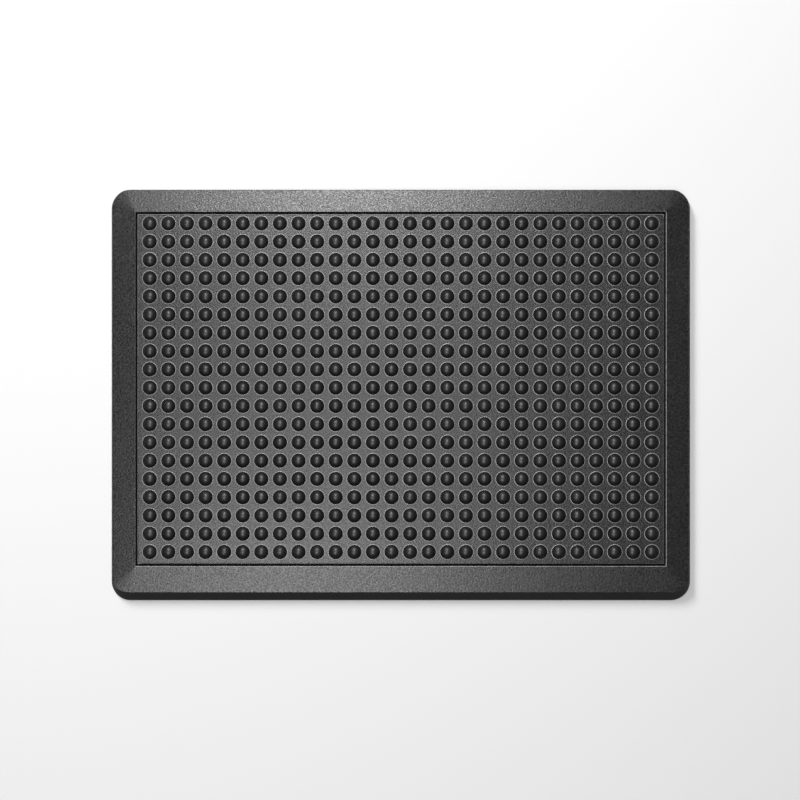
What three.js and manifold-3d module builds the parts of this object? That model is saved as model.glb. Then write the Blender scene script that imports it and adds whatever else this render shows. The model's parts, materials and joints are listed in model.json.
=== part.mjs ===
// Rubber door mat: a bevelled border frame, a domed insert set inside it across an open groove,
// and a thin rubber backing that both are bonded to.
// Millimetres, +X along the long side, +Y to the back, +Z up, origin on the floor under the centre.

import * as THREE from 'three';
import { mergeGeometries, mergeVertices } from 'three/addons/utils/BufferGeometryUtils.js';
import Module from 'manifold-3d';

// Whole mat
const MAT_LENGTH = 850;
const MAT_DEPTH = 603;
const CORNER_RADIUS = 28;
const BOND_GAP = 0.3;

// Border frame, widest at the front, where its edge also slopes out furthest
const SIDE_BORDER = 36.5;
const BACK_BORDER = 34;
const FRONT_BORDER = 50;
const EDGE_HEIGHT = 11;
const EDGE_RUN = 3.5;
const FRONT_EDGE_RUN = 12;
const BEVEL_RISE = 2.5;
const OPENING_LENGTH = MAT_LENGTH - 2 * SIDE_BORDER;
const OPENING_DEPTH = MAT_DEPTH - BACK_BORDER - FRONT_BORDER;
const OPENING_Y = (FRONT_BORDER - BACK_BORDER) / 2;

// Rubber backing, a sheet cut square and let into a rebate under the frame
const BACKING_THICKNESS = 2;
const BACKING_LAP = 20;

// Domed insert
const GROOVE_WIDTH = 2.8;
const INSERT_FACE_HEIGHT = 12.8;
const BEAD_WIDTH = 2;
const BEAD_HEIGHT = 0.7;
const DOME_COLUMNS = 28;
const DOME_ROWS = 19;
const COLUMN_PITCH = 27.2;
const ROW_PITCH = 26.7;
const ROWS_SHIFT = 2.1;
const DOME_BASE_RADIUS = 10.4;
const DOME_TOP_RADIUS = 6;
const DOME_HEIGHT = 5.2;
const DOME_ROOT = 0.6;
const DOME_SIDES = 6;

// How far a cutting body runs past the face that it cuts
const OVERCUT = 5;
const ARC_STEPS = 8;

const wasm = await Module();
wasm.setup();

// Closed three.js geometry to a solid, without the triangles that a collapsed corner leaves
function toSolid(geometry) {
  const plain = geometry.clone();
  plain.deleteAttribute('normal');
  plain.deleteAttribute('uv');
  const merged = mergeVertices(plain, 1e-4);
  const index = merged.index.array;
  const kept = [];
  for (let i = 0; i < index.length; i += 3) {
    const [a, b, c] = [index[i], index[i + 1], index[i + 2]];
    if (a !== b && b !== c && c !== a) kept.push(a, b, c);
  }
  return new wasm.Manifold(new wasm.Mesh({
    numProp: 3,
    vertProperties: new Float32Array(merged.attributes.position.array),
    triVerts: new Uint32Array(kept),
  }));
}

function toGeometry(solid) {
  const mesh = solid.getMesh();
  const geometry = new THREE.BufferGeometry();
  geometry.setAttribute('position', new THREE.BufferAttribute(mesh.vertProperties, 3));
  geometry.setIndex(new THREE.BufferAttribute(mesh.triVerts, 1));
  geometry.computeVertexNormals();
  return geometry;
}

// The mat's outline; every point of it lies on one of the four corner arcs
function matOutline() {
  const x = MAT_LENGTH / 2 - CORNER_RADIUS;
  const y = MAT_DEPTH / 2 - CORNER_RADIUS;
  const shape = new THREE.Shape();
  shape.absarc(x, y, CORNER_RADIUS, 0, Math.PI / 2);
  shape.absarc(-x, y, CORNER_RADIUS, Math.PI / 2, Math.PI);
  shape.absarc(-x, -y, CORNER_RADIUS, Math.PI, 1.5 * Math.PI);
  shape.absarc(x, -y, CORNER_RADIUS, 1.5 * Math.PI, 2 * Math.PI);
  return shape;
}

// A box centred on the frame's opening
function box(length, depth, bottom, top) {
  const slab = new THREE.BoxGeometry(length, depth, top - bottom);
  return slab.translate(0, OPENING_Y, (bottom + top) / 2);
}

// Moves one coordinate of a point of the mat's outline inwards. The corner arc is squeezed until
// nothing is left of it, and then the corner moves in.
function moveIn(value, halfSize, distance) {
  const side = Math.sign(value);
  const arcCentre = side * (halfSize - CORNER_RADIUS);
  const kept = Math.max(1 - distance / CORNER_RADIUS, 0);
  const past = Math.max(distance - CORNER_RADIUS, 0);
  return arcCentre + (value - arcCentre) * kept - side * past;
}

// The frame before its opening is cut. The rings run along the floor, along the top of the edge,
// and some way past the opening, with the same slope up to it all around.
function mound() {
  const overrun = 1.2;
  const widths = { side: SIDE_BORDER, back: BACK_BORDER, front: FRONT_BORDER };
  const runs = { side: EDGE_RUN, back: EDGE_RUN, front: FRONT_EDGE_RUN };
  const reach = (name) => runs[name] + (widths[name] - runs[name]) * overrun;
  const rings = [
    { side: 0, back: 0, front: 0, z: 0 },
    { ...runs, z: EDGE_HEIGHT },
    {
      side: reach('side'),
      back: reach('back'),
      front: reach('front'),
      z: EDGE_HEIGHT + BEVEL_RISE * overrun,
    },
  ];
  const geometry = new THREE.ExtrudeGeometry(matOutline(), {
    depth: rings.length - 1,
    steps: rings.length - 1,
    bevelEnabled: false,
    curveSegments: ARC_STEPS,
  });
  const position = geometry.attributes.position;
  for (let i = 0; i < position.count; i++) {
    const ring = rings[Math.round(position.getZ(i))];
    const y = position.getY(i);
    position.setXYZ(
      i,
      moveIn(position.getX(i), MAT_LENGTH / 2, ring.side),
      moveIn(y, MAT_DEPTH / 2, y > 0 ? ring.back : ring.front),
      ring.z,
    );
  }
  return geometry;
}

function borderFrame() {
  const lap = 2 * (BACKING_LAP + BOND_GAP);
  const opening = box(OPENING_LENGTH, OPENING_DEPTH, -OVERCUT, EDGE_HEIGHT + BEVEL_RISE + OVERCUT);
  const rebate = box(
    OPENING_LENGTH + lap,
    OPENING_DEPTH + lap,
    -OVERCUT,
    BACKING_THICKNESS + BOND_GAP,
  );
  return toGeometry(toSolid(mound()).subtract(toSolid(opening)).subtract(toSolid(rebate)));
}

function rubberBacking() {
  return box(OPENING_LENGTH + 2 * BACKING_LAP, OPENING_DEPTH + 2 * BACKING_LAP, 0, BACKING_THICKNESS);
}

// One dome as a frustum, sunk a little way into the panel so that the two join
function dome() {
  const corners = [];
  for (let side = 0; side < DOME_SIDES; side++) {
    const angle = (2 * Math.PI * (side + 0.5)) / DOME_SIDES;
    corners.push(new THREE.Vector2(Math.cos(angle), Math.sin(angle)));
  }
  const geometry = new THREE.ExtrudeGeometry(new THREE.Shape(corners), { depth: 1, bevelEnabled: false });
  const spread = (DOME_BASE_RADIUS - DOME_TOP_RADIUS) / DOME_HEIGHT;
  const rootRadius = DOME_BASE_RADIUS + spread * DOME_ROOT;
  const position = geometry.attributes.position;
  for (let i = 0; i < position.count; i++) {
    const atTop = position.getZ(i) > 0.5;
    const radius = atTop ? DOME_TOP_RADIUS : rootRadius;
    const height = INSERT_FACE_HEIGHT + (atTop ? DOME_HEIGHT : -DOME_ROOT);
    position.setXYZ(i, position.getX(i) * radius, position.getY(i) * radius, height);
  }
  return geometry;
}

function domes() {
  const all = [];
  for (let row = 0; row < DOME_ROWS; row++) {
    for (let column = 0; column < DOME_COLUMNS; column++) {
      const x = (column - (DOME_COLUMNS - 1) / 2) * COLUMN_PITCH;
      const y = (row - (DOME_ROWS - 1) / 2) * ROW_PITCH + OPENING_Y + ROWS_SHIFT;
      all.push(dome().translate(x, y, 0));
    }
  }
  return mergeGeometries(all);
}

function domedInsert() {
  const length = OPENING_LENGTH - 2 * GROOVE_WIDTH;
  const depth = OPENING_DEPTH - 2 * GROOVE_WIDTH;
  const beadTop = INSERT_FACE_HEIGHT + BEAD_HEIGHT;
  const panel = box(length, depth, BACKING_THICKNESS + BOND_GAP, beadTop);
  const sunkFace = box(
    length - 2 * BEAD_WIDTH,
    depth - 2 * BEAD_WIDTH,
    INSERT_FACE_HEIGHT,
    beadTop + OVERCUT,
  );
  return toGeometry(toSolid(panel).subtract(toSolid(sunkFace)).add(toSolid(domes())));
}

function rubber(color, roughness) {
  return new THREE.MeshStandardMaterial({ color, roughness, metalness: 0 });
}

function part(name, geometry, material) {
  const mesh = new THREE.Mesh(geometry, material);
  mesh.name = name;
  return mesh;
}

const mat = new THREE.Group();
mat.add(part('border_frame', borderFrame(), rubber(0x2b2c2d, 0.55)));
mat.add(part('domed_insert', domedInsert(), rubber(0x262728, 0.5)));
mat.add(part('rubber_backing', rubberBacking(), rubber(0x1d1e1f, 0.8)));

export default mat;
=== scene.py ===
"""Looks of the rubber door mat: a bevelled border frame, a domed insert and a rubber backing.

Every piece is made in metres in the CAD's frame: +X along the long side, +Y to the back, +Z up,
with the floor at height 0 under the middle of the mat.
"""

import json
import math

import bpy
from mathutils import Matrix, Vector

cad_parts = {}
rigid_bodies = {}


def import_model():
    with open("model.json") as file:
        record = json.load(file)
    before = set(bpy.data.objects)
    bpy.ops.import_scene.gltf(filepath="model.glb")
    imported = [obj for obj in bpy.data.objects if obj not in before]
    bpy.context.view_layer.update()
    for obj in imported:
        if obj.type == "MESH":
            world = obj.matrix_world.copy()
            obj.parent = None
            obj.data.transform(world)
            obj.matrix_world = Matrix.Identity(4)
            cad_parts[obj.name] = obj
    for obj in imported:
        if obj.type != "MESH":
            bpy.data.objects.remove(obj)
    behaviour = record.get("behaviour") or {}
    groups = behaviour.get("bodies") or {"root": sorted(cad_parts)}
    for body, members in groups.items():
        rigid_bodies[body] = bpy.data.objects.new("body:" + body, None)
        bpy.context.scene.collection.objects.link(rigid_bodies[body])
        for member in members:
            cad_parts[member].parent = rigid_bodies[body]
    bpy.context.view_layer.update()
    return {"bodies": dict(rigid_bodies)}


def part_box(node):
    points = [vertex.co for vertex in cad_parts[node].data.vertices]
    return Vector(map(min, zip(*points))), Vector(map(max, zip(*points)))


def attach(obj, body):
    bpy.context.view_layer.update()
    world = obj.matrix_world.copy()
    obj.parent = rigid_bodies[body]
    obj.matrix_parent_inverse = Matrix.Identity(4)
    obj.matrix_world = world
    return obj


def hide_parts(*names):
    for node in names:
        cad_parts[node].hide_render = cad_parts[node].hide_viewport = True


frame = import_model()

MM = 0.001
BODY = next(iter(frame["bodies"]))

# The CAD pieces that the looks are built around
FRAME_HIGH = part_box("border_frame")[1]
INSERT_LOW, INSERT_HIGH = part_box("domed_insert")
BACKING_LOW, BACKING_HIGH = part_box("rubber_backing")

# Border frame
HALF_LENGTH = FRAME_HIGH.x
HALF_DEPTH = FRAME_HIGH.y
LIP_HEIGHT = FRAME_HIGH.z
CORNER_RADIUS = 28 * MM
OPENING_CORNER = 0.8 * MM
EDGE_RUN = 3.5 * MM
FRONT_EDGE_RUN = 12 * MM
BACK_EDGE_RUN = 1.8 * MM
EDGE_HEIGHT = 11 * MM
FOOT_HEIGHT = 1.5 * MM
GROOVE_WIDTH = 3.1 * MM
BOND_GAP = 0.3 * MM
REBATE_HEIGHT = BACKING_HIGH.z + BOND_GAP
CORNER_STEPS = 12
SIDE_STEPS = 10

# How round the section's corners are
OPENING_FILLET = 0.3 * MM
LIP_FILLET = 0.5 * MM
EDGE_FILLET = 1.2 * MM
FOOT_FILLET = 0.3 * MM
SOLE_FILLET = 0.2 * MM
REBATE_FILLET = 0.4 * MM
FILLET_STEPS = 5
FILLET_SUPPORT = 0.4 * MM

# The wall's matter rubber ends this far under the top of the edge
WALL_DROP = 0.6 * MM

# The painted highlight along the lip, a pale band in place of the light its edge catches: how wide it
# is, and how far it reaches down
LIP_SHEEN = 0.75 * MM
LIP_SHEEN_DEPTH = 1 * MM
# How much of the painted highlight shows on the groove's edges that face right or front; the others,
# which face the back left where the light comes from, have it all
LESS_SHEEN = 0.2
# A point of the lip this near to the line of the right or front side belongs to it
SIDE_TOLERANCE = 0.1 * MM

# Domed insert
INSERT_INSET = 0.9 * MM
BEAD_WIDTH = 1.5 * MM
BEAD_HEIGHT = 0.9 * MM
BEAD_SUPPORT = 0.2 * MM
# The bead's section as (share of its width, share of its height, painted highlight share), from the
# face outwards
BEAD_SECTION = [
    (0.0, 0.0, 0.0),
    (0.12, 0.2, 0.0),
    (0.35, 0.85, 0.5),
    (0.48, 1.0, 1.0),
    (0.7, 1.0, 1.0),
    (0.85, 0.7, 0.5),
    (0.93, 0.0, 0.0),
    (1.0, -3.0, 0.0),
]
DOME_COLUMNS = 28
DOME_ROWS = 19
COLUMN_PITCH = 27.2 * MM
ROW_PITCH = 26.7 * MM
ROWS_SHIFT = 2.1 * MM
ROWS_MIDDLE = (INSERT_LOW.y + INSERT_HIGH.y) / 2 + ROWS_SHIFT
DOME_RADIUS = 10.6 * MM
DOME_HEIGHT = 5.2 * MM
FACE_HEIGHT = INSERT_HIGH.z - DOME_HEIGHT
CELL_STEPS = 5

# The rings of a dome, as shares of the way from its top to its edge
DOME_SHARES = (0.2, 0.42, 0.65, 0.86)
# Its tight foot, and the painted highlight ring on the face around it, a pale ring in place of light
# at the foot, measured from the dome's radius
FOOT_INSET = 0.1 * MM
FOOT_RISE = 0.14 * MM
SHEEN_START = 0.05 * MM
SHEEN_END = 0.65 * MM
SHEEN_GONE = 1.0 * MM

# Rubber backing, with channels along its underside
CHANNEL_PITCH = 9 * MM
CHANNEL_DEPTH = 0.8 * MM
CHANNEL_REACH = 0.36 * CHANNEL_PITCH
CHANNEL_MARGIN = 12 * MM
CHANNEL_SLOPE = 1 * MM

# Skin of the rubber, with noises as (scale per metre, detail, roughness)
CLOUDS = (14, 4, 0.6)
PATCHES = (90, 3, 0.6)
MOTTLE = (330, 4, 0.65)
PEBBLE = (800, 2, 0.5)
MOTTLE_BUMP = 0.42 * MM
PEBBLE_BUMP = 0.12 * MM
# Ranges of values and what they become, as (from low, from high, to low, to high)
CLOUD_SPREAD = (0.3, 0.7, 0.6, 1.0)
TONE_SPREAD = (0.2, 0.6, 0.0, 1.0)
PATCH_SPREAD = (0.35, 0.65, 0.6, 1.0)
MOTTLE_RANGE = (0.36, 0.64)
# Up the domes, over CALM_RISE from this height, the grain falls to a share and the gloss dulls
CALM_HEIGHT = FACE_HEIGHT + 1 * MM
CALM_RISE = 1.5 * MM
DOME_GRAIN = 0.25
DOME_MATTER = 0.09
DEEP_BLACK = (0.003, 0.003, 0.003)
SOFT_BLACK = (0.014, 0.014, 0.0145)
# The pale grey of the painted highlight on the groove's edges and round the domes' feet; the dim one
# is for the walls and underside, which have none of it
SHEEN_GREY = (0.300, 0.300, 0.305)
DIM_SHEEN_GREY = (0.030, 0.030, 0.030)
WALL_DARK = (0.014, 0.014, 0.014)
WALL_LIGHT = (0.022, 0.022, 0.022)
UNDER_DARK = (0.010, 0.010, 0.010)
UNDER_LIGHT = (0.018, 0.018, 0.018)

# Floor and sky. The floor's glow grows with the distance from the mat, in metres.
FLOOR_SIZE = 40.0
FLOOR_TONE = (0.80, 0.80, 0.80, 1.0)
FLOOR_ROUGHNESS = 0.9
FLOOR_GLOW = 1.12
GLOW_START = 1.0
GLOW_FULL = 4.0
SKY_SEEN = 0.96
SKY_LIGHT = 0.12
# The sky's light grows between these two heights of its unit sphere
SKY_LOW = 0.25
SKY_HIGH = 0.65

# Lights: the ones overhead as (name, x, y, size, power), then the one that gives the shadow
OVERHEAD_HEIGHT = 3.0
OVERHEADS = [
    ("overhead_back", -0.22, 1.75, (0.55, 1.5), 49),
    ("overhead_middle", -0.17, 0.35, (1.0, 1.1), 7),
    ("overhead_front", -0.42, -0.9, (1.0, 1.3), 25),
]
KEY_PLACE = (-3.0, 5.2, 2.9)
KEY_SIZE = (1.8, 1.8)
KEY_POWER = 500

# The camera looks straight down from in front of the mat's middle, and the shift brings it back
CAMERA_PLACE = (0, -0.125, 2.2)
CAMERA_LENS = 67.3
CAMERA_SENSOR = 36
CAMERA_SHIFT = (-0.001, 0.1)
CAMERA_NEAR = 0.01


class Shell:
    """The points and faces of one piece while it is being built."""

    def __init__(self):
        self.points = []
        self.painted_sheen = []
        self.faces = []
        self.finishes = []

    def point(self, x, y, z, painted_sheen=0.0):
        self.points.append((x, y, z))
        self.painted_sheen.append(painted_sheen)
        return len(self.points) - 1

    def face(self, *corners, finish=0):
        self.faces.append(corners)
        self.finishes.append(finish)

    def bridge(self, inner, outer, finish=0):
        """Quads between two closed rings of the same length, facing up or outwards."""
        for k in range(len(inner)):
            after = (k + 1) % len(inner)
            self.face(inner[k], outer[k], outer[after], inner[after], finish=finish)

    def finished(self, name, *materials):
        """The piece as a smooth mesh object, riding on the mat's body."""
        mesh = bpy.data.meshes.new(name)
        mesh.from_pydata(self.points, [], self.faces)
        for material in materials:
            mesh.materials.append(material)
        mesh.polygons.foreach_set("material_index", self.finishes)
        mesh.polygons.foreach_set("use_smooth", [True] * len(self.faces))
        # Each point's share of the painted highlight, a pale grey that the materials paint on in
        # place of light the edges catch
        painted_sheen = mesh.attributes.new("painted_sheen", "FLOAT", "POINT")
        painted_sheen.data.foreach_set("value", self.painted_sheen)
        mesh.update()
        piece = bpy.data.objects.new(name, mesh)
        bpy.context.scene.collection.objects.link(piece)
        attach(piece, BODY)
        return piece


# ---------------------------------------------------------------- border frame

def filleted(corners):
    """A closed outline whose corners (x, y, radius) are rounded into arcs.

    A support point on each side of an arc keeps its shading off the flat next to it.
    """
    outline = []
    for i, (x, y, radius) in enumerate(corners):
        here = Vector((x, y))
        back = (Vector(corners[i - 1][:2]) - here).normalized()
        ahead = (Vector(corners[(i + 1) % len(corners)][:2]) - here).normalized()
        half = back.angle(ahead) / 2
        run = radius / math.tan(half)
        centre = here + (back + ahead).normalized() * radius / math.sin(half)
        start = here + back * run - centre
        end = here + ahead * run - centre
        turn = math.atan2(start.cross(end), start.dot(end))
        outline.append(here + back * (run + FILLET_SUPPORT))
        for k in range(FILLET_STEPS + 1):
            angle = turn * k / FILLET_STEPS
            outline.append(centre + Vector((
                start.x * math.cos(angle) - start.y * math.sin(angle),
                start.x * math.sin(angle) + start.y * math.cos(angle),
            )))
        outline.append(here + ahead * (run + FILLET_SUPPORT))
    return outline


def frame_section(outline, opening, rebate, edge_run):
    """One side's section as (distance out from the middle of the mat, height).

    The outline is given as such a distance too, and the rest as distances in from the outline.
    """
    corners = [
        (opening, REBATE_HEIGHT, OPENING_FILLET),
        (opening, LIP_HEIGHT, LIP_FILLET),
        (edge_run, EDGE_HEIGHT, EDGE_FILLET),
        (0, FOOT_HEIGHT, FOOT_FILLET),
        (0, 0, SOLE_FILLET),
        (rebate, 0, REBATE_FILLET),
        (rebate, REBATE_HEIGHT, REBATE_FILLET),
    ]
    return filleted([(outline - inset, height, radius) for inset, height, radius in corners])


def frame_ring(side, front, back):
    """Points around the mat, anticlockwise, through one spot of each side's section.

    A spot is (distance out from the middle of the mat, height). Around a corner the heights blend.
    """
    ring = []
    for quarter in range(4):
        across = side
        along = back if quarter < 2 else front
        radius_x = max(CORNER_RADIUS - HALF_LENGTH + across.x, OPENING_CORNER)
        radius_y = max(CORNER_RADIUS - HALF_DEPTH + along.x, OPENING_CORNER)
        sign_x = 1 if quarter in (0, 3) else -1
        sign_y = 1 if quarter < 2 else -1
        centre_x = sign_x * (across.x - radius_x)
        centre_y = sign_y * (along.x - radius_y)
        arc = []
        for k in range(CORNER_STEPS + 1):
            angle = (quarter + k / CORNER_STEPS) * math.pi / 2
            cos, sin = math.cos(angle), math.sin(angle)
            height = across.y * cos ** 2 + along.y * sin ** 2
            arc.append(Vector((centre_x + radius_x * cos, centre_y + radius_y * sin, height)))
        if ring:
            ring += straight(ring[-1], arc[0])
        ring += arc
    return ring + straight(ring[-1], ring[0])


def straight(start, end):
    """The points between the ends of a straight run."""
    return [start.lerp(end, k / SIDE_STEPS) for k in range(1, SIDE_STEPS)]


def frame_sections():
    """The sections of the sides, the front and the back."""
    gap = GROOVE_WIDTH - INSERT_INSET
    side = frame_section(
        HALF_LENGTH,
        HALF_LENGTH - INSERT_HIGH.x - gap,
        HALF_LENGTH - BACKING_HIGH.x - BOND_GAP,
        EDGE_RUN,
    )
    front = frame_section(
        HALF_DEPTH,
        HALF_DEPTH + INSERT_LOW.y - gap,
        HALF_DEPTH + BACKING_LOW.y - BOND_GAP,
        FRONT_EDGE_RUN,
    )
    back = frame_section(
        HALF_DEPTH,
        HALF_DEPTH - INSERT_HIGH.y - gap,
        HALF_DEPTH - BACKING_HIGH.y - BOND_GAP,
        BACK_EDGE_RUN,
    )
    return side, front, back


def ring_sheen(ring, on_lip):
    """How much painted highlight each point of a frame ring has. Only the lip has it, and most at the
    right and front, where its edge faces the back left and the light.
    """
    if not on_lip:
        return [0.0] * len(ring)
    right = max(point.x for point in ring) - SIDE_TOLERANCE
    front = min(point.y for point in ring) + SIDE_TOLERANCE
    return [1.0 if point.x > right or point.y < front else LESS_SHEEN for point in ring]


def border_frame(top_material, wall_material):
    side, front, back = frame_sections()
    lip_end = INSERT_HIGH.x + GROOVE_WIDTH - INSERT_INSET + LIP_SHEEN
    shell = Shell()
    rings = []
    for spots in zip(side, front, back):
        ring = frame_ring(*spots)
        on_lip = spots[0].x < lip_end and spots[0].y > LIP_HEIGHT - LIP_SHEEN_DEPTH
        # The lip's points get the pale painted highlight
        sheen = ring_sheen(ring, on_lip)
        rings.append([shell.point(*point, painted_sheen) for point, painted_sheen in zip(ring, sheen)])
    for i, spot in enumerate(side):
        after = (i + 1) % len(side)
        middle = (spot + side[after]) / 2
        on_wall = middle.x > HALF_LENGTH - EDGE_RUN and middle.y < EDGE_HEIGHT - WALL_DROP
        shell.bridge(rings[i], rings[after], finish=1 if on_wall else 0)
    piece = shell.finished("frame_moulding", top_material, wall_material)
    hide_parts("border_frame")


# ---------------------------------------------------------------- domed insert

def dome_rings():
    """(radius, height above the face, painted highlight share) of the rings from a dome's top out to
    the face.
    """
    sphere = (DOME_RADIUS ** 2 + DOME_HEIGHT ** 2) / (2 * DOME_HEIGHT)
    centre = DOME_HEIGHT - sphere
    edge = math.asin(DOME_RADIUS / sphere)
    rings = []
    for share in DOME_SHARES:
        angle = edge * share
        rings.append((sphere * math.sin(angle), centre + sphere * math.cos(angle), 0.0))
    rings.append((DOME_RADIUS - FOOT_INSET, FOOT_RISE, 0.0))
    # The next two rings carry the pale painted highlight ring round the dome's foot
    rings.append((DOME_RADIUS + SHEEN_START, 0.0, 1.0))
    rings.append((DOME_RADIUS + SHEEN_END, 0.0, 1.0))
    rings.append((DOME_RADIUS + SHEEN_GONE, 0.0, 0.0))
    return rings


def cell_edges(count, pitch, middle, low, high):
    """Where the domes' cells begin and end along one side: midway between domes, or at the bead."""
    between = [middle + (i - count / 2) * pitch for i in range(1, count)]
    margin = INSERT_INSET + BEAD_WIDTH + BEAD_SUPPORT
    return [low + margin, *between, high - margin]


def divided(edges):
    """The same edges with each cell cut into CELL_STEPS equal steps."""
    places = []
    for low, high in zip(edges, edges[1:]):
        places += [low + (high - low) * k / CELL_STEPS for k in range(CELL_STEPS)]
    return [*places, edges[-1]]


def walk(left, low, right, high):
    """Grid places (column, row) around a rectangle, anticlockwise from its lower right corner."""
    return (
        [(right, row) for row in range(low, high)]
        + [(column, high) for column in range(right, left, -1)]
        + [(left, row) for row in range(high, low, -1)]
        + [(column, low) for column in range(left, right)]
    )


def outward(place, last):
    """-1, 0 or 1: which end of the grid a place is at."""
    return (place == last) - (place == 0)


class Face:
    """The insert's face as a grid of places (column, row), CELL_STEPS to a dome's cell."""

    def __init__(self, shell):
        self.shell = shell
        self.x_edges = cell_edges(DOME_COLUMNS, COLUMN_PITCH, 0, INSERT_LOW.x, INSERT_HIGH.x)
        self.y_edges = cell_edges(DOME_ROWS, ROW_PITCH, ROWS_MIDDLE, INSERT_LOW.y, INSERT_HIGH.y)
        self.x_places = divided(self.x_edges)
        self.y_places = divided(self.y_edges)
        self.last = (DOME_COLUMNS * CELL_STEPS, DOME_ROWS * CELL_STEPS)
        self.points = {}

    def point(self, place):
        """The shared point of the face at a place."""
        if place not in self.points:
            x, y = self.x_places[place[0]], self.y_places[place[1]]
            self.points[place] = self.shell.point(x, y, FACE_HEIGHT)
        return self.points[place]

    def around(self, left, low, right, high):
        """The face's points around a rectangle of places."""
        return [self.point(place) for place in walk(left, low, right, high)]


def dome(shell, x, y, rings, cell_border):
    """One dome, with its foot spread out over the face to its cell's border."""
    segments = len(cell_border)
    top = shell.point(x, y, INSERT_HIGH.z)
    loops = []
    for radius, height, painted_sheen in rings:
        loop = []
        for k in range(segments):
            angle = 2 * math.pi * (k / segments - 1 / 8)
            here = (x + radius * math.cos(angle), y + radius * math.sin(angle))
            loop.append(shell.point(*here, FACE_HEIGHT + height, painted_sheen))
        loops.append(loop)
    loops.append(cell_border)
    for k in range(segments):
        shell.face(top, loops[0][k], loops[0][(k + 1) % segments])
    for inner, outer in zip(loops, loops[1:]):
        shell.bridge(inner, outer)


def add_domes(shell, face):
    rings = dome_rings()
    for row in range(DOME_ROWS):
        for column in range(DOME_COLUMNS):
            left, low = column * CELL_STEPS, row * CELL_STEPS
            border = face.around(left, low, left + CELL_STEPS, low + CELL_STEPS)
            x = (column - (DOME_COLUMNS - 1) / 2) * COLUMN_PITCH
            y = ROWS_MIDDLE + (row - (DOME_ROWS - 1) / 2) * ROW_PITCH
            dome(shell, x, y, rings, border)


def add_bead(shell, face):
    """The bead around the face; returns its outermost ring. Its left and back sides, which face the
    light, carry the most painted highlight.
    """
    last_column, last_row = face.last
    ring = face.around(0, 0, last_column, last_row)
    for width_share, height_share, painted_sheen in BEAD_SECTION:
        out = BEAD_SUPPORT + BEAD_WIDTH * width_share
        height = FACE_HEIGHT + BEAD_HEIGHT * height_share
        outer = []
        for column, row in walk(0, 0, last_column, last_row):
            x = face.x_places[column] + out * outward(column, last_column)
            y = face.y_places[row] + out * outward(row, last_row)
            # The pale painted highlight is full on the left and back sides, where the bead's edge
            # faces the light
            highlit = column == 0 or row == last_row
            outer.append(shell.point(x, y, height, painted_sheen if highlit else painted_sheen * LESS_SHEEN))
        shell.bridge(ring, outer)
        ring = outer
    return ring


def add_underside(shell, face):
    """The underside, with one point at each corner of a dome's cell; returns its rim."""
    out = BEAD_SUPPORT + BEAD_WIDTH
    under = {}
    for column, x in enumerate(face.x_edges):
        for row, y in enumerate(face.y_edges):
            under[column, row] = shell.point(
                x + out * outward(column, DOME_COLUMNS),
                y + out * outward(row, DOME_ROWS),
                INSERT_LOW.z,
            )
    for column in range(DOME_COLUMNS):
        for row in range(DOME_ROWS):
            corners = [(column, row), (column, row + 1), (column + 1, row + 1), (column + 1, row)]
            shell.face(*[under[corner] for corner in corners])
    return [under[place] for place in walk(0, 0, DOME_COLUMNS, DOME_ROWS)]


def add_side_walls(shell, upper_rim, lower_rim):
    """A fan from each end of a cell's length of the lower rim, and a triangle between the two."""
    middle = CELL_STEPS // 2
    for i, low in enumerate(lower_rim):
        after = lower_rim[(i + 1) % len(lower_rim)]
        upper = [upper_rim[(i * CELL_STEPS + k) % len(upper_rim)] for k in range(CELL_STEPS + 1)]
        for k in range(CELL_STEPS):
            shell.face(upper[k], low if k <= middle else after, upper[k + 1])
        shell.face(low, after, upper[middle + 1])


def domed_insert(material):
    shell = Shell()
    face = Face(shell)
    add_domes(shell, face)
    upper_rim = add_bead(shell, face)
    lower_rim = add_underside(shell, face)
    add_side_walls(shell, upper_rim, lower_rim)
    piece = shell.finished("insert_moulding", material)
    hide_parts("domed_insert")


# ---------------------------------------------------------------- rubber backing

def channel_line(front, back):
    """The backing's points from front to back as (y, depth of the channel there)."""
    channels = int((back - front - 2 * CHANNEL_MARGIN) / CHANNEL_PITCH)
    line = [(front, 0.0)]
    for channel in range(channels):
        middle = (front + back) / 2 + (channel - (channels - 1) / 2) * CHANNEL_PITCH
        for share, depth in ((-1, 0.0), (-0.5, CHANNEL_DEPTH), (0.5, CHANNEL_DEPTH), (1, 0.0)):
            line.append((middle + share * CHANNEL_REACH, depth))
    return [*line, (back, 0.0)]


def rubber_backing(material):
    """A sheet with shallow channels along its underside, which stop short of its edges."""
    across, back, top = BACKING_HIGH
    shell = Shell()
    x_places = [-across, CHANNEL_MARGIN - across, CHANNEL_MARGIN + CHANNEL_SLOPE - across]
    x_places += [-x for x in reversed(x_places)]
    line = channel_line(BACKING_LOW.y, back)
    upper = {}
    lower = {}
    for i, x in enumerate(x_places):
        inside = 1 < i < len(x_places) - 2
        for j, (y, depth) in enumerate(line):
            upper[i, j] = shell.point(x, y, top)
            lower[i, j] = shell.point(x, y, depth if inside else 0.0)
    last = (len(x_places) - 1, len(line) - 1)
    for i in range(last[0]):
        for j in range(last[1]):
            corners = [(i, j), (i + 1, j), (i + 1, j + 1), (i, j + 1)]
            shell.face(*[upper[corner] for corner in corners])
            shell.face(*[lower[corner] for corner in reversed(corners)])
    rim = walk(0, 0, *last)
    shell.bridge([upper[place] for place in rim], [lower[place] for place in rim])
    piece = shell.finished("backing_moulding", material)
    for polygon in piece.data.polygons:
        polygon.use_smooth = False
    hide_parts("rubber_backing")


# ---------------------------------------------------------------- materials

def material_with_tree(name):
    material = bpy.data.materials.new(name)
    material.use_nodes = True
    tree = material.node_tree
    return material, tree, tree.nodes["Principled BSDF"]


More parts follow.
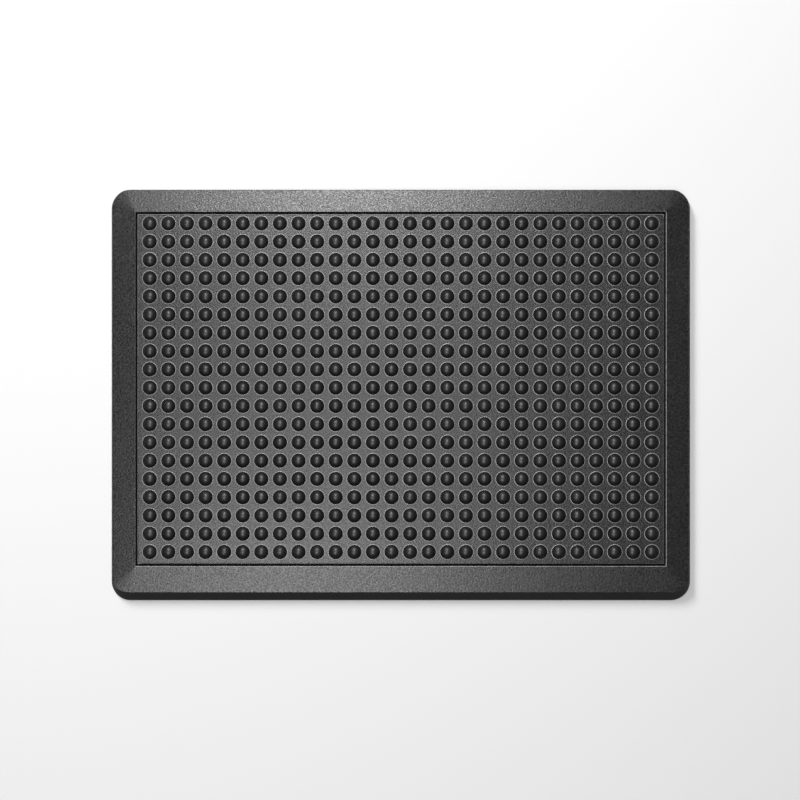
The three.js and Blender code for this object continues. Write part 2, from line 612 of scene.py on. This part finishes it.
def noise(tree, place, scale, detail, roughness):
    node = tree.nodes.new("ShaderNodeTexNoise")
    node.inputs["Scale"].default_value = scale
    node.inputs["Detail"].default_value = detail
    node.inputs["Roughness"].default_value = roughness
    tree.links.new(place, node.inputs["Vector"])
    return node.outputs["Fac"]


def spread(tree, value, low, high, to_low, to_high):
    """Maps low..high of a value onto to_low..to_high."""
    node = tree.nodes.new("ShaderNodeMapRange")
    node.inputs["From Min"].default_value = low
    node.inputs["From Max"].default_value = high
    node.inputs["To Min"].default_value = to_low
    node.inputs["To Max"].default_value = to_high
    tree.links.new(value, node.inputs["Value"])
    return node.outputs["Result"]


def combine(tree, operation, a, b):
    """A math node over two values, each a socket or a number."""
    node = tree.nodes.new("ShaderNodeMath")
    node.operation = operation
    for socket, value in zip(node.inputs, (a, b)):
        if isinstance(value, (int, float)):
            socket.default_value = value
        else:
            tree.links.new(value, socket)
    return node.outputs["Value"]


def tinted(tree, share, dark, light):
    """A colour between two others, each a socket or three numbers."""
    node = tree.nodes.new("ShaderNodeMix")
    node.data_type = "RGBA"
    tree.links.new(share, node.inputs["Factor"])
    for socket, colour in ((node.inputs["A"], dark), (node.inputs["B"], light)):
        if isinstance(colour, tuple):
            socket.default_value = (*colour, 1.0)
        else:
            tree.links.new(colour, socket)
    return node.outputs["Result"]


def bump(tree, height, distance, below=None):
    node = tree.nodes.new("ShaderNodeBump")
    node.inputs["Distance"].default_value = distance
    tree.links.new(height, node.inputs["Height"])
    if below:
        tree.links.new(below, node.inputs["Normal"])
    return node.outputs["Normal"]


def calmed(tree, value, share):
    """The value with its swing about 0.5 scaled by the share."""
    swing = combine(tree, "SUBTRACT", value, 0.5)
    return combine(tree, "ADD", combine(tree, "MULTIPLY", swing, share), 0.5)


def dome_calm(tree, place):
    """1 on the face and below it, falling to DOME_GRAIN up the domes."""
    axes = tree.nodes.new("ShaderNodeSeparateXYZ")
    tree.links.new(place, axes.inputs["Vector"])
    return spread(tree, axes.outputs["Z"], CALM_HEIGHT, CALM_HEIGHT + CALM_RISE, 1.0, DOME_GRAIN)


def rubber_colour(tree, place, mottle, dark, light, sheen_grey):
    """Cloudy black with a fine mottle, and a patchy pale painted highlight on the edges that the mesh
    marks for it, in place of light they catch.
    """
    clouds = spread(tree, noise(tree, place, *CLOUDS), *CLOUD_SPREAD)
    tone = combine(tree, "MULTIPLY", clouds, mottle)
    colour = tinted(tree, spread(tree, tone, *TONE_SPREAD), dark, light)
    # Reads each point's share of the painted highlight
    painted_sheen = tree.nodes.new("ShaderNodeAttribute")
    painted_sheen.attribute_name = "painted_sheen"
    patches = spread(tree, noise(tree, place, *PATCHES), *PATCH_SPREAD)
    highlit = combine(tree, "MULTIPLY", painted_sheen.outputs["Fac"], patches)
    return tinted(tree, highlit, colour, sheen_grey)


def moulded_rubber(name, dark, light, sheen_grey, rough_low, rough_high, specular, grain):
    """Black moulded rubber: cloudy tone, a fine pebble grain, and a greyer painted highlight on the
    marked edges, standing in for light they catch.

    The grain fades out up the domes.
    """
    material, tree, shader = material_with_tree(name)
    place = tree.nodes.new("ShaderNodeTexCoord").outputs["Object"]
    calm = dome_calm(tree, place)
    mottle = calmed(tree, noise(tree, place, *MOTTLE), calm)
    pebble = calmed(tree, noise(tree, place, *PEBBLE), calm)
    rough = spread(tree, mottle, *MOTTLE_RANGE, rough_low, rough_high)
    rough = combine(tree, "ADD", rough, spread(tree, calm, DOME_GRAIN, 1.0, DOME_MATTER, 0.0))
    coarse = bump(tree, mottle, MOTTLE_BUMP * grain)
    fine = bump(tree, pebble, PEBBLE_BUMP * grain, coarse)
    colour = rubber_colour(tree, place, mottle, dark, light, sheen_grey)
    tree.links.new(colour, shader.inputs["Base Color"])
    tree.links.new(rough, shader.inputs["Roughness"])
    tree.links.new(fine, shader.inputs["Normal"])
    shader.inputs["Specular IOR Level"].default_value = specular
    return material


# ---------------------------------------------------------------- the object

top_rubber = moulded_rubber(
    "frame_top_rubber", DEEP_BLACK, SOFT_BLACK, SHEEN_GREY,
    rough_low=0.20, rough_high=0.38, specular=0.8, grain=0.7,
)
wall_rubber = moulded_rubber(
    "frame_wall_rubber", WALL_DARK, WALL_LIGHT, DIM_SHEEN_GREY,
    rough_low=0.6, rough_high=0.75, specular=0.3, grain=0.8,
)
insert_rubber = moulded_rubber(
    "insert_rubber", DEEP_BLACK, SOFT_BLACK, SHEEN_GREY,
    rough_low=0.22, rough_high=0.36, specular=0.8, grain=0.6,
)
under_rubber = moulded_rubber(
    "backing_rubber", UNDER_DARK, UNDER_LIGHT, DIM_SHEEN_GREY,
    rough_low=0.7, rough_high=0.85, specular=0.3, grain=1.0,
)

border_frame(top_rubber, wall_rubber)
domed_insert(insert_rubber)
rubber_backing(under_rubber)


# ---------------------------------------------------------------- stage, light and camera

def floor():
    """A pale floor, which glows out of the lights' reach so that it stays pale to the horizon."""
    bpy.ops.mesh.primitive_plane_add(size=FLOOR_SIZE)
    plane = bpy.context.object
    plane.name = "floor"
    material, tree, shader = material_with_tree("pale_floor")
    shader.inputs["Base Color"].default_value = FLOOR_TONE
    shader.inputs["Roughness"].default_value = FLOOR_ROUGHNESS
    shader.inputs["Specular IOR Level"].default_value = 0.0
    place = tree.nodes.new("ShaderNodeTexCoord").outputs["Object"]
    reach = tree.nodes.new("ShaderNodeVectorMath")
    reach.operation = "LENGTH"
    tree.links.new(place, reach.inputs[0])
    glow = spread(tree, reach.outputs["Value"], GLOW_START, GLOW_FULL, 0.0, FLOOR_GLOW)
    shader.inputs["Emission Color"].default_value = FLOOR_TONE
    tree.links.new(glow, shader.inputs["Emission Strength"])
    plane.data.materials.append(material)


def area_light(name, place, aim, size, power, glossy=True):
    """A soft rectangular light. One that isn't glossy stays out of the reflections."""
    data = bpy.data.lights.new(name, "AREA")
    data.shape = "RECTANGLE"
    data.size, data.size_y = size
    data.energy = power
    light = bpy.data.objects.new(name, data)
    light.location = place
    direction = Vector(aim) - Vector(place)
    light.rotation_euler = direction.to_track_quat("-Z", "Y").to_euler()
    light.visible_camera = False
    light.visible_glossy = glossy
    bpy.context.scene.collection.objects.link(light)


def sky():
    """Pale where the camera sees it. As a light it is dim, and dark towards the horizon."""
    world = bpy.data.worlds.new("studio")
    world.use_nodes = True
    tree = world.node_tree
    background = tree.nodes["Background"]
    background.inputs["Color"].default_value = (1.0, 1.0, 1.0, 1.0)
    axes = tree.nodes.new("ShaderNodeSeparateXYZ")
    place = tree.nodes.new("ShaderNodeTexCoord").outputs["Generated"]
    tree.links.new(place, axes.inputs["Vector"])
    light = spread(tree, axes.outputs["Z"], SKY_LOW, SKY_HIGH, 0.0, SKY_LIGHT)
    seen = tree.nodes.new("ShaderNodeLightPath").outputs["Is Camera Ray"]
    strength = combine(tree, "MAXIMUM", light, combine(tree, "MULTIPLY", seen, SKY_SEEN))
    tree.links.new(strength, background.inputs["Strength"])
    bpy.context.scene.world = world


def camera():
    data = bpy.data.cameras.new("view")
    data.lens = CAMERA_LENS
    data.sensor_width = CAMERA_SENSOR
    data.shift_x, data.shift_y = CAMERA_SHIFT
    data.clip_start = CAMERA_NEAR
    view = bpy.data.objects.new("view", data)
    view.location = CAMERA_PLACE
    bpy.context.scene.collection.objects.link(view)
    bpy.context.scene.camera = view


floor()
for name, x, y, size, power in OVERHEADS:
    area_light(name, (x, y, OVERHEAD_HEIGHT), (x, y, 0), size, power)
area_light("soft_key", KEY_PLACE, (0, 0, 0), KEY_SIZE, KEY_POWER, glossy=False)
sky()
camera()
bpy.context.scene.view_settings.view_transform = "Standard"
